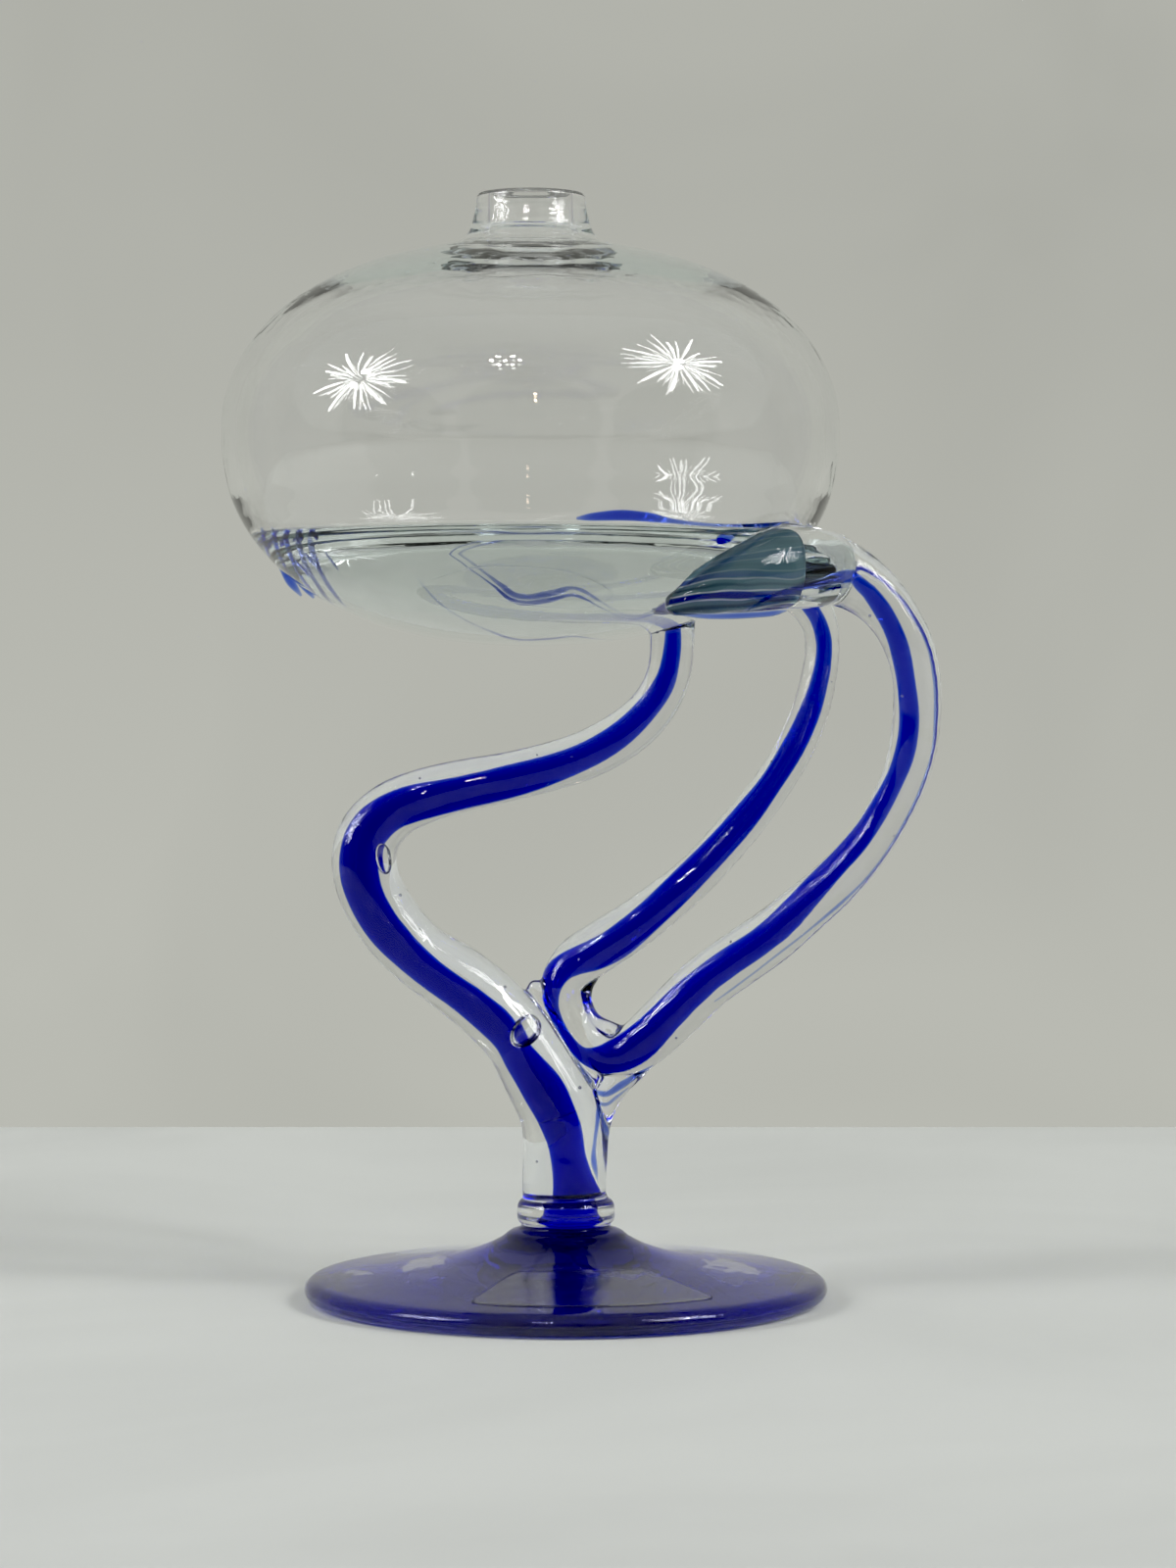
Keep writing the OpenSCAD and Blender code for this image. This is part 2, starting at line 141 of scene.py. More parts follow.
# a thin second thread on the outside of the right arm
THREAD = [
    (26.5, -2, 55.6, 0.1), (33, -2.6, 60.4, 0.16), (39.5, -3.2, 65.2, 0.2), (46, -4.5, 70.6, 0.2),
    (51.4, -5.2, 75.4, 0.2), (55.4, -6, 79.9, 0.2), (59, -6.6, 85, 0.2), (62, -7.6, 90.6, 0.22),
    (64.2, -8.6, 96.2, 0.22), (65.6, -9.6, 102, 0.22), (66, -10, 108.6, 0.22),
    (65.6, -11, 114.6, 0.22), (64, -12, 120.4, 0.2), (61.2, -12.4, 125.6, 0.18),
    (58, -12.4, 129.6, 0.1),
]
# flared right pad: a thick run over the font's front that the cane's end melts into
PAD_ROUTE = [
    (47, -12, 133.6, 6.8), (42.5, -19.5, 133.4, 7.3), (37, -25.5, 133.0, 7.4),
    (31, -30, 131.2, 6.3), (25, -33.3, 128.8, 4.3), (19.5, -35.6, 126.6, 2.2),
]
# outline of the grey-green glass in the right pad, x and z, seen from the front
PAD_OUTLINE = [
    (17.6, 125.8), (20.6, 130.4), (25.6, 134.6), (31.0, 138.0), (35.6, 139.8), (40.4, 138.6),
    (41.0, 133), (39.4, 126.6), (33, 125.6), (26, 124.9), (20.4, 124.8),
]
PAD_STREAKS = [
    [(18.8, -38.4, 126.4, 0.12), (24.4, -36.8, 127.8, 0.4), (29.4, -34.6, 128.4, 0.6),
     (33.8, -32.4, 128.4, 0.65), (37.6, -30.2, 128, 0.7), (40, -28.4, 128.6, 0.4)],
    [(19.2, -38, 124.8, 0.15), (25, -36.2, 124.4, 0.5), (31, -33.4, 124.6, 0.6),
     (36, -30.8, 125, 0.5), (39, -29, 125.6, 0.15)],
    [(18.6, -38.4, 127.6, 0.1), (23, -37.4, 131, 0.22), (28, -35.4, 134, 0.28),
     (32, -33.4, 136.4, 0.25), (34.2, -32.2, 138.2, 0.1)],
    [(26.4, -39.3, 137, 0.3), (27.2, -39.2, 137.6, 0.9), (28.4, -38.8, 137.8, 0.75),
     (30, -38, 138.8, 0.15)],
]
# trails in the font's wall: x, z and radius
FLOOR_TRAIL = [
    (2.0, 141.0, 0.25), (5, 141.3, 0.8), (9.5, 141.6, 1.05), (14, 141.4, 0.9), (18, 140.9, 0.5),
    (24, 140.5, 0.35), (30, 140.6, 0.35), (35, 141.0, 0.45), (39, 141.8, 0.2),
]
BASE_TRAIL = [
    (-25.6, 131.8, 0.12), (-22.4, 128.0, 0.3), (-18.4, 125.2, 0.3), (-13.6, 123.1, 0.4),
    (-8.6, 121.7, 0.85), (-3, 121.8, 1.0), (1.5, 122.2, 0.6), (6, 121.9, 0.25), (11, 122.0, 0.22),
    (15.4, 122.8, 0.6), (20, 124.0, 0.9), (23.5, 125.0, 0.25),
]
BASE_SWIRL = [
    (-24, 131.5, 0.1), (-16, 133.4, 0.3), (-6, 133.6, 0.3), (3, 132.2, 0.25), (8, 129.6, 0.25),
    (4, 127.4, 0.25), (-6, 127.6, 0.2), (-14, 129, 0.1),
]
# streaks low on the font's left side: how many, how many of them are dark, where the first starts,
# the step and drop to the next, how they curl and fall, and the radius in the middle and at the ends
SIDE_COUNT, SIDE_DARK = 5, 3
SIDE_X, SIDE_Z = -53.6, 141.0
SIDE_STEP, SIDE_DROP = 2.3, 0.4
SIDE_CURL, SIDE_FALL = 0.32, 3.0
SIDE_R, SIDE_END_R = 0.85, 0.25
# bubbles: route, place along it, sideways share of the radius, size
SEEDS = [
    (STEM_ROUTE, 1.6, 0.55, 0.22), (STEM_ROUTE, 3.4, -0.6, 0.3), (STEM_ROUTE, 6.2, -0.62, 0.25),
    (STEM_ROUTE, 8.5, -0.5, 0.2), (STEM_ROUTE, 9.7, -0.66, 0.28), (STEM_ROUTE, 14.2, 0.55, 0.2),
    (STEM_ROUTE, 16.4, 0.5, 0.16), (VEE_ROUTE, 6.3, 0.6, 0.16), (VEE_ROUTE, 9.4, -0.6, 0.2),
    (VEE_ROUTE, 21.6, -0.55, 0.2), (VEE_ROUTE, 24.2, 0.6, 0.22), (VEE_ROUTE, 29.3, -0.6, 0.16),
    (VEE_ROUTE, 33.4, 0.55, 0.18), (VEE_ROUTE, 36.8, 0.6, 0.26),
]
# blue streaks in the tail under the knee and down the trunk's right side
TAIL_STREAKS = [
    [(5, -2, 38.4, 0.2), (7.4, -2.4, 37.8, 0.6), (10, -2.2, 39.4, 0.8), (12.8, -1.8, 41.4, 0.6),
     (15.6, -1.4, 43.6, 0.2)],
    [(5.2, -2, 36.4, 0.15), (7.4, -2.2, 35.9, 0.4), (9.4, -2, 37.4, 0.4), (11.4, -1.6, 39, 0.15)],
    [(5.9, -1.8, 36.6, 0.2), (5.6, -3, 33.2, 0.7), (4.9, -3.6, 29.4, 0.5), (4.7, -4, 26, 0.6),
     (5.4, -3.6, 22.2, 0.15)],
    [(6, -0.5, 34.5, 0.1), (6.4, -1, 31, 0.35), (6.4, -1.4, 27.4, 0.3), (6.4, -1.4, 23.4, 0.1)],
]


# ---------------------------------------------------------------- geometry helpers
def curve(points, per_span):
    """A smooth curve through the route points, and its directions."""
    p = np.array(points, float)
    p = np.vstack([2 * p[0] - p[1], p, 2 * p[-1] - p[-2]])
    out, tangent = [], []
    spans = len(points) - 1
    for s in range(spans * per_span + 1):
        i = min(s // per_span, spans - 1)
        t = s / per_span - i
        a, b, c, d = p[i:i + 4]
        out.append(0.5 * (2 * b + (c - a) * t + (2 * a - 5 * b + 4 * c - d) * t * t
                          + (3 * b - a - 3 * c + d) * t ** 3))
        tangent.append(0.5 * ((c - a) + 2 * (2 * a - 5 * b + 4 * c - d) * t
                              + 3 * (3 * b - a - 3 * c + d) * t * t))
    out, tangent = np.array(out), np.array(tangent)[:, :3]
    return out, tangent / np.linalg.norm(tangent, axis=1)[:, None]


def smooth_line(points, per):
    """Points on a smooth line through a few given ones."""
    p = [(a, 0.0, b, 0.0) for a, b in points]
    c, _ = curve(p, per)
    return [(float(q[0]), float(q[2])) for q in c]


def evened(centre, reach):
    """The same curve with its small kinks drawn out, as pulled glass does; its ends stay."""
    n = int(3 * reach)
    weight = np.exp(-0.5 * (np.arange(-n, n + 1) / reach) ** 2)
    weight /= weight.sum()
    out = np.empty_like(centre)
    for k in range(centre.shape[1]):
        line = centre[:, k]
        wide = np.concatenate([2 * line[0] - line[n:0:-1], line, 2 * line[-1] - line[-2:-n - 2:-1]])
        out[:, k] = np.convolve(wide, weight, "valid")
    step = np.gradient(out[:, :3], axis=0)
    return out, step / np.linalg.norm(step, axis=1)[:, None]


def frames(tangent):
    """Two directions across each tangent: sideways as seen from the front, and front to back."""
    side = np.cross(tangent, np.array([0.0, 1.0, 0.0]))
    side /= np.linalg.norm(side, axis=1)[:, None]
    return side, np.cross(side, tangent)


def mesh_object(name, verts, faces):
    """A mesh from points in mm."""
    me = bpy.data.meshes.new(name)
    points = [tuple(v) for v in np.array(verts, float) * MM]
    me.from_pydata(points, [], [tuple(int(i) for i in f) for f in faces])
    me.validate()
    me.polygons.foreach_set("use_smooth", [True] * len(me.polygons))
    me.update()
    ob = bpy.data.objects.new(name, me)
    SCENE.collection.objects.link(ob)
    return ob


def sweep_mesh(centre, tangent, radius, sides):
    """Points and faces of a bar along a curve.

    radius is a function of (ring index, angle) or an array.
    """
    side, up = frames(tangent)
    n = len(centre)
    ang = np.linspace(0, 2 * math.pi, sides, endpoint=False)
    verts = []
    for i in range(n):
        r = radius(i, ang) if callable(radius) else np.full(sides, radius[i])
        verts.append(centre[i] + (np.cos(ang) * r)[:, None] * side[i] + (np.sin(ang) * r)[:, None] * up[i])
    verts = np.vstack(verts)
    faces = []
    for i in range(n - 1):
        for k in range(sides):
            a, b = i * sides + k, i * sides + (k + 1) % sides
            faces.append((a, a + sides, b + sides, b))
    faces.append(tuple(range(sides)))
    faces.append(tuple((n - 1) * sides + k for k in range(sides - 1, -1, -1)))
    return verts, faces


def bar(name, route, per_span, sides):
    """A round bar along a route of x, y, z and radius."""
    c, t = curve(route, per_span)
    return mesh_object(name, *sweep_mesh(c[:, :3], t, c[:, 3], sides))


def lathe(name, profile, steps, x0=0.0, closed=True, wobble=None):
    """Turns a list of (r, z) around the vertical axis at x0. Ends at r=0 close by themselves."""
    prof = np.array(profile, float)
    ang = np.linspace(0, 2 * math.pi, steps, endpoint=False)
    verts, rows = [], []
    for r, z in prof:
        if r < 1e-9:
            rows.append([len(verts)] * steps)
            verts.append((x0, 0.0, z))
        else:
            row = []
            for a in ang:
                rr, zz = (r, z) if wobble is None else wobble(r, z, a)
                row.append(len(verts))
                verts.append((x0 + rr * math.cos(a), rr * math.sin(a), zz))
            rows.append(row)
    faces = []
    loop = list(zip(rows[:-1], rows[1:]))
    if closed:
        loop.append((rows[-1], rows[0]))
    for lo, hi in loop:
        for k in range(steps):
            q = [lo[k], lo[(k + 1) % steps], hi[(k + 1) % steps], hi[k]]
            q = [v for j, v in enumerate(q) if v != q[j - 1]]
            if len(q) > 2:
                faces.append(q)
    return mesh_object(name, verts, faces)


def apply_modifiers(ob):
    """The object keeps the mesh that its modifiers make."""
    bpy.context.view_layer.update()
    dg = bpy.context.evaluated_depsgraph_get()
    me = bpy.data.meshes.new_from_object(ob.evaluated_get(dg))
    old = ob.data
    ob.modifiers.clear()
    ob.data = me
    bpy.data.meshes.remove(old)
    return ob


def join(name, objects):
    """One object from several, which are removed."""
    verts, faces = [], []
    for o in objects:
        base = len(verts)
        verts += [tuple(v.co) for v in o.data.vertices]
        faces += [tuple(base + i for i in p.vertices) for p in o.data.polygons]
    me = bpy.data.meshes.new(name)
    me.from_pydata(verts, [], faces)
    me.update()
    ob = bpy.data.objects.new(name, me)
    SCENE.collection.objects.link(ob)
    for o in objects:
        drop(o)
    return ob


def drop(ob):
    """Removes an object and its mesh."""
    me = ob.data
    bpy.data.objects.remove(ob)
    bpy.data.meshes.remove(me)


def fuse(ob, voxel, relax, rounds):
    """Melts overlapping closed shapes into one soft skin."""
    m = ob.modifiers.new("melt", "REMESH")
    m.mode = "VOXEL"
    m.voxel_size = voxel * MM
    m.use_smooth_shade = True
    s = ob.modifiers.new("relax", "SMOOTH")
    s.factor = relax
    s.iterations = rounds
    return apply_modifiers(ob)


def unite(target, tool):
    """Makes one closed skin of two closed bodies; the second is removed."""
    m = target.modifiers.new("unite", "BOOLEAN")
    m.operation = "UNION"
    m.solver = "MANIFOLD"
    m.object = tool
    apply_modifiers(target)
    drop(tool)


# ---------------------------------------------------------------- the font's outline
def oval(r, h, deg):
    """A point of the font's superellipse: how far out and how far up or down."""
    a = math.radians(deg)
    return r * max(math.cos(a), 0.0) ** (2 / FONT_POWER), h * max(math.sin(a), 0.0) ** (2 / FONT_POWER)


def font_profile():
    """The font's outer line from the bottom up, and its inner line from the mouth down."""
    n = 64
    outer = []
    for k in range(n + 1):
        r, h = oval(FONT_R, FONT_DROP, 90 - 90 * k / n)
        outer.append((0.0 if k == 0 else r, FONT_MID - h))
    for k in range(1, n + 1):
        r, h = oval(FONT_R, FONT_RISE, OUTER_TURN * k / n)
        outer.append((r, FONT_MID + h))
    join_z = FONT_MID + FONT_RISE
    neck = [(outer[-1][0], outer[-1][1]), (14.6, join_z - 0.5), (12.6, join_z + 0.55), (11.3, join_z + 2.0),
            (10.6, join_z + 4.2), (10.1, NECK_TOP - 2.6), (9.9, NECK_TOP - 0.5)]
    outer += smooth_line(neck, 6)[1:]
    outer += [(9.6, NECK_TOP - 0.08), (9.2, NECK_TOP)]
    inner = [(BORE_R + 0.35, NECK_TOP), (BORE_R + 0.08, NECK_TOP - 0.12)]
    mouth = [(BORE_R, NECK_TOP - 0.5), (BORE_R, join_z + 4), (BORE_R + 0.1, join_z + 1), (8.2, join_z - 1.6),
             (10.6, join_z - 3.5), (14.6, join_z - 4.6)]
    inner += smooth_line(mouth, 6)
    top = []
    for k in range(n, 0, -1):
        thick = WALL + WALL_GROWTH * max(0.0, (k / n - 0.35) / 0.65) ** 2
        r, h = oval(FONT_R - WALL, FONT_RISE - thick, INNER_TURN * k / n)
        top.append((r, FONT_MID + h))
    inner += top[:-1]
    # below the widest line the wall follows the outside, then turns into the dished floor
    side = []
    for k in range(0, 40):
        r, h = oval(FONT_R - WALL, FONT_DROP - WALL, 40 * k / 39)
        if FONT_MID - h < FLOOR_Z + CORNER:
            break
        side.append((r, FONT_MID - h))
    inner += side
    r0, z0 = side[-1]
    corner = [(r0, z0), (r0 - 1.1, z0 - 3.7), (r0 - 3.0, FLOOR_Z + 1.4), (r0 - 6.2, FLOOR_Z + 0.28),
              (r0 - 10.5, FLOOR_Z + 0.05)]
    inner += smooth_line([side[-3]] + corner, 6)[7:]
    floor = inner[-1][0]
    for k in range(1, 13):
        r = floor * (1 - k / 12)
        inner.append((r, FLOOR_Z + 0.05 - DISH * (1 - (r / floor) ** 2)))
    return outer, inner


outer_line, inner_line = font_profile()


def ripple(r, z, a):
    """The slight unevenness of a blown wall, and the turned rings near the neck."""
    up = min(max((z - 120) / 70, 0), 1)
    wave = 0.10 * math.sin(2 * a + 0.7 + z * 0.04) + 0.05 * math.sin(3 * a + 2.1 - z * 0.07)
    wave *= 1 - 0.75 * max(0.0, (z - 188) / 14) if z > 188 else 1.0
    wave *= min(1.0, r / 30)
    rings = 0.0
    if 11.5 < r < 25 and z > 186:
        fade = math.sin(math.pi * (r - 11.5) / 13.5) ** 2
        rings = 0.04 * fade * math.sin((r - 12) * 1.5)
    return r + wave * up, z + rings


font_line = outer_line + inner_line[:-1] + [(0.0, inner_line[-1][1])]
font_ob = lathe("font_glass", font_line, 224, FONT_X, closed=False, wobble=ripple)


# ---------------------------------------------------------------- canes, knee and pads melted together
def ball(name, at, r, rows=12):
    """A ball at a place."""
    prof = [(r * math.sin(math.pi * k / rows), -r * math.cos(math.pi * k / rows)) for k in range(rows + 1)]
    prof[0] = (0.0, -r)
    prof[-1] = (0.0, r)
    ob = lathe(name, prof, 24, 0.0, closed=False)
    ob.data.transform(Matrix.Translation(Vector(at) * MM))
    return ob


def build_canes():
    """Arms, then web, crease, tail and right pad with a ball on each end, all melted together."""
    canes = (("stem", STEM_ROUTE), ("vee", VEE_ROUTE))
    parts = [bar(name, route, per_span=8, sides=40) for name, route in canes]
    for route in (WEB_ROUTE, CREASE_ROUTE, TAIL_ROUTE, PAD_ROUTE):
        parts.append(bar("run", route, per_span=6, sides=24))
        for end in (route[0], route[-1]):
            parts.append(ball("run_end", end[:3], end[3]))
    return fuse(join("cane_glass", parts), voxel=0.42, relax=0.5, rounds=10)


canes = build_canes()


# ---------------------------------------------------------------- foot with its boss
FOOT_TOP_LINE = smooth_line([(44.6, 4.35), (38, 5.2), (29, 6.5), (21, 7.8), (15.5, 9.5), (12, 11.2),
                             (10.4, 12.4), (9.0, 13.0)], 6)
HOLLOW = 2.0
FOOT_LOW_LINE = smooth_line([(0.0, HOLLOW), (12.0, 1.75), (24.0, 1.0), (33.0, 0.35), (37.5, 0.03)], 6)
FOOT_LOW_LINE = [(max(r, 0.0), max(z, 0.0)) for r, z in FOOT_LOW_LINE]
# the foot's rounded rim: its thickness, how far in it is round, and the height where its top meets it
RIM = 4.2
RIM_ROUND = 2.6
RIM_TOP = 3.4


def foot_top(r):
    """Height of the foot's top at a radius."""
    rs = [p[0] for p in reversed(FOOT_TOP_LINE)] + [FOOT_R]
    zs = [p[1] for p in reversed(FOOT_TOP_LINE)] + [RIM_TOP]
    return float(np.interp(r, rs, zs))


def foot_low(r):
    """Height of the foot's underside at a radius."""
    return float(np.interp(r, [p[0] for p in FOOT_LOW_LINE], [p[1] for p in FOOT_LOW_LINE]))


def foot_profile():
    """The foot's outline from the middle of its underside to the top of its boss."""
    low = [(0.0, HOLLOW)] + FOOT_LOW_LINE[1:] + [(40.0, 0.0), (43.0, 0.0)]
    edge = []
    for a in range(-84, 85, 12):
        out, up = math.cos(math.radians(a)), math.sin(math.radians(a))
        edge.append((FOOT_R - RIM_ROUND + RIM_ROUND * out, RIM / 2 + RIM / 2 * up))
    waist = smooth_line([(8.2, 13.35), (8.3, 13.9), (8.9, 14.6), (9.0, 16.0), (8.9, 17.2), (8.5, 18.0),
                         (7.9, 18.35)], 5)
    return low + edge + FOOT_TOP_LINE + waist + [(7.6, 18.9), (7.4, 19.4), (0.0, 19.4)]


foot = lathe("foot_glass", foot_profile(), 192, 0.0, closed=False)


# ---------------------------------------------------------------- one clear body
body = font_ob
unite(body, canes)
unite(body, foot)
body.name = "clear_glass_body"


# ---------------------------------------------------------------- materials
def new_material(name):
    """An empty material: itself, its node tree and its output node."""
    m = bpy.data.materials.new(name)
    m.use_nodes = True
    nt = m.node_tree
    for n in list(nt.nodes):
        nt.nodes.remove(n)
    return m, nt, nt.nodes.new("ShaderNodeOutputMaterial")


def node(nt, kind, **inputs):
    """A shader node with its inputs set by name."""
    n = nt.nodes.new(kind)
    for key, value in inputs.items():
        n.inputs[key.replace("_", " ")].default_value = value
    return n


def waves(nt, target, scale, height):
    """Slight hand-made unevenness, as bump."""
    co = nt.nodes.new("ShaderNodeTexCoord")
    noise = node(nt, "ShaderNodeTexNoise", Scale=scale, Detail=2.0, Distortion=0.4)
    bump = node(nt, "ShaderNodeBump", Strength=1.0, Distance=height)
    nt.links.new(co.outputs["Object"], noise.inputs["Vector"])
    nt.links.new(noise.outputs["Fac"], bump.inputs["Height"])
    nt.links.new(bump.outputs[0], target.inputs["Normal"])


def along(nt, co, axis, span, levels):
    """A value that goes from one level to another between two places on an axis, in metres."""
    split = nt.nodes.new("ShaderNodeSeparateXYZ")
    level = node(nt, "ShaderNodeMapRange", From_Min=span[0], From_Max=span[1], To_Min=levels[0],
                 To_Max=levels[1])
    nt.links.new(co.outputs["Object"], split.inputs[0])
    nt.links.new(split.outputs[axis], level.inputs["Value"])
    return level.outputs[0]


def glass(name, tint, density, ior=1.5, rough=0.0, wave=(60.0, 0.0), cloud=0.0, base=(1, 1, 1)):
    """Glass whose colour comes from what it absorbs; cloud makes it a little milky."""
    m, nt, out = new_material(name)
    b = nt.nodes.new("ShaderNodeBsdfPrincipled")
    b.inputs["Base Color"].default_value = (*base, 1)
    b.inputs["Transmission Weight"].default_value = 1.0 - cloud
    b.inputs["Roughness"].default_value = rough
    b.inputs["IOR"].default_value = ior
    nt.links.new(b.outputs[0], out.inputs["Surface"])
    if wave[1]:
        waves(nt, b, *wave)
    if density:
        v = nt.nodes.new("ShaderNodeVolumeAbsorption")
        v.inputs["Color"].default_value = (*tint, 1)
        v.inputs["Density"].default_value = density
        nt.links.new(v.outputs[0], out.inputs["Volume"])
    return m


# coloured glass inside clear glass bends light only by their difference, so its index is near 1
CLEAR = glass("clear_glass", (0.80, 0.87, 0.86), 12.0, wave=(70.0, 0.00010))
COBALT = glass("cobalt_glass", (0.0, 0.25, 0.915), 2400.0, ior=1.02, wave=(30.0, 0.00001))
FOOT_BLUE = glass("foot_cobalt_glass", (0.03, 0.05, 0.975), 620.0, ior=1.02, wave=(40.0, 0.00004), cloud=0.03,
                  base=(0.90, 0.90, 1.0))
TRUMPET_BLUE = glass("trumpet_cobalt_glass", (0.02, 0.05, 0.93), 900.0, ior=1.02, wave=(40.0, 0.00004))
SWIRL = glass("faint_swirl_glass", (0.30, 0.38, 0.50), 420.0, ior=1.03, wave=(120.0, 0.00003))
STREAK = glass("cobalt_streak_glass", (0.15, 0.25, 0.75), 1500.0, ior=1.03, wave=(150.0, 0.00003))
FILM = glass("clear_film", (0.97, 0.98, 1.0), 0.0, ior=1.10, rough=0.12, wave=(260.0, 0.00003))
GROUND = glass("ground_rim_glass", (1, 1, 1), 0.0, rough=0.35, wave=(2600.0, 0.0002))
AIR = glass("air_bubble", (1, 1, 1), 0.0, ior=0.667, wave=(500.0, 0.00001))

# the lines, dark streaks and near-white painted highlights, run low in the wedge: heights between which they
# fade, in metres, and the colour above them
LINES_FADE = (0.1285, 0.1325)
PLAIN_TEAL = (0.17, 0.30, 0.34)
# how far the lines are turned from level, in radians
STREAK_TILT = 0.62


def streaks_with_painted_highlights():
    """Grey-green glass drawn out in fine darker lines, and in near-white lines that are painted highlights.
    """
    m, nt, out = new_material("grey_green_glass")
    b = nt.nodes.new("ShaderNodeBsdfPrincipled")
    b.inputs["Transmission Weight"].default_value = 0.35
    b.inputs["Roughness"].default_value = 0.12
    b.inputs["IOR"].default_value = 1.2
    co = nt.nodes.new("ShaderNodeTexCoord")
    place = node(nt, "ShaderNodeMapping", Rotation=(0.0, STREAK_TILT, 0.0), Scale=(0.22, 0.5, 1.0))
    wave = node(nt, "ShaderNodeTexWave", Scale=130.0, Distortion=5.0, Detail=2.0)
    wave.bands_direction = "Z"
    ramp = nt.nodes.new("ShaderNodeValToRGB")
    # the near-white stops are painted highlights; the dark, teal and blue stops are the glass's own streaks
    tones = ((0.0, (0.05, 0.10, 0.14)), (0.12, (0.15, 0.27, 0.31)), (0.50, (0.18, 0.31, 0.35)),
             (0.60, (0.90, 0.93, 0.94)), (0.72, (0.80, 0.85, 0.87)), (0.80, (0.16, 0.28, 0.34)),
             (0.90, (0.03, 0.04, 0.42)), (1.0, (0.03, 0.04, 0.36)))
    while len(ramp.color_ramp.elements) < len(tones):
        ramp.color_ramp.elements.new(0.5)
    for stop, (at, tone) in zip(ramp.color_ramp.elements, tones):
        stop.position = at
        stop.color = (*tone, 1)
    nt.links.new(co.outputs["Object"], place.inputs["Vector"])
    nt.links.new(place.outputs["Vector"], wave.inputs["Vector"])
    nt.links.new(wave.outputs["Fac"], ramp.inputs["Fac"])
    blend = nt.nodes.new("ShaderNodeMixRGB")
    blend.inputs["Color1"].default_value = (*PLAIN_TEAL, 1)
    nt.links.new(along(nt, co, "Z", LINES_FADE, (1.0, 0.12)), blend.inputs["Fac"])
    nt.links.new(ramp.outputs["Color"], blend.inputs["Color2"])
    nt.links.new(blend.outputs[0], b.inputs["Base Color"])
    nt.links.new(b.outputs[0], out.inputs["Surface"])
    return m


TEAL = streaks_with_painted_highlights()


def paint(ob, mat):
    """One material and smooth shading over the whole object."""
    ob.data.materials.clear()
    ob.data.materials.append(mat)
    ob.data.polygons.foreach_set("material_index", [0] * len(ob.data.polygons))
    ob.data.polygons.foreach_set("use_smooth", [True] * len(ob.data.polygons))


def piece(ob, mat, slot, *nodes):
    """Makes an object a piece that rides on the root and stands for some CAD nodes."""
    paint(ob, mat)
    if nodes:
        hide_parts(*nodes)
    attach(ob, "root")


piece(body, CLEAR, "font_glass", "font", "foot", "boss", "trunk", "left_arm", "rear_arm", "right_arm",
      "knee_web", "knee_tail", "left_pad", "rear_pad", "right_pad")


# ---------------------------------------------------------------- blue cores
def strand(name, route, mat, slot, nodes, sides=24, flat=1.0, wobble=0.05, start=0, end=None, even=0.0):
    """A strand of coloured glass along a route.

    flat squeezes it front to back, start and end pick a part of the route by its points, and
    even says over how many points its kinks are drawn out.
    """
    per = 6
    c, t = curve(route, per)
    if even:
        c, t = evened(c, even * per)
    lo, hi = start * per, (len(route) - 1 if end is None else end) * per
    c, t = c[lo:hi + 1], t[lo:hi + 1]
    run = start + np.arange(len(c)) / per
    soft = 1 + wobble * (np.sin(run * 1.9 + 1) + 0.4 * np.sin(run * 4.1))

    def radius(i, ang):
        r = c[i, 3] * soft[i]
        return r / np.sqrt(np.cos(ang) ** 2 + (np.sin(ang) / flat) ** 2)

    piece(mesh_object(name, *sweep_mesh(c[:, :3], t, radius, sides)), mat, slot, *nodes)


# each core takes its part of a cane's route
CORE_RUNS = (
    ("trunk_core", STEM_CORE, 0, STEM_CORE_SPLIT),
    ("left_core", STEM_CORE, STEM_CORE_SPLIT, None),
    ("rear_core", VEE_CORE, 0, VEE_CORE_SPLIT),
    ("right_core", VEE_CORE, VEE_CORE_SPLIT, None),
)
for core, route, start, end in CORE_RUNS:
    strand(core + "_glass", route, COBALT, "cobalt_core", [core], start=start, end=end, even=0.55,
           wobble=0.03)
strand("right_arm_thread", THREAD, COBALT, "cobalt_streak", [], sides=10, wobble=0.2, even=0.6)


# ---------------------------------------------------------------- cobalt in the foot
# clear windows in the layer: x, y and half sizes
WINDOWS = [
    (-25, -2, 5.4, 17), (-38.5, -6, 4.8, 13), (9.5, -13, 8.0, 6.5), (29.5, -2, 6.5, 17), (-6, 30, 9, 7),
]
# inner and outer radius of the layer, and the clear glass under and over it
LAYER_IN, LAYER_OUT = 13.0, 46.7
UNDER, OVER = 0.5, 0.7


def smoothstep(a, b, x):
    """0 below a, 1 above b, and a soft step between."""
    t = min(max((x - a) / (b - a), 0.0), 1.0)
    return t * t * (3 - 2 * t)


def layer_share(r, a):
    """How much of the foot's thickness the cobalt takes at a place: streaky, with a wavy edge."""
    share = 0.86 + 0.10 * math.sin(5 * a + r * 0.30) + 0.06 * math.sin(11 * a - r * 0.42 + 1)
    edge = 46.8 - 4.0 * math.exp(-((a + 0.15) / 0.45) ** 2) + 0.4 * math.sin(4 * a)
    share *= 1 - smoothstep(edge - 1.6, edge, r)
    px, py = r * math.cos(a), r * math.sin(a)
    for x, y, half_x, half_y in WINDOWS:
        d = math.hypot((px - x) / half_x, (py - y) / half_y)
        d += 0.12 * math.sin(0.9 * px + 0.5 * py + x) + 0.08 * math.sin(1.7 * px - 0.6 * py)
        share *= smoothstep(0.80, 1.02, d)
    return share


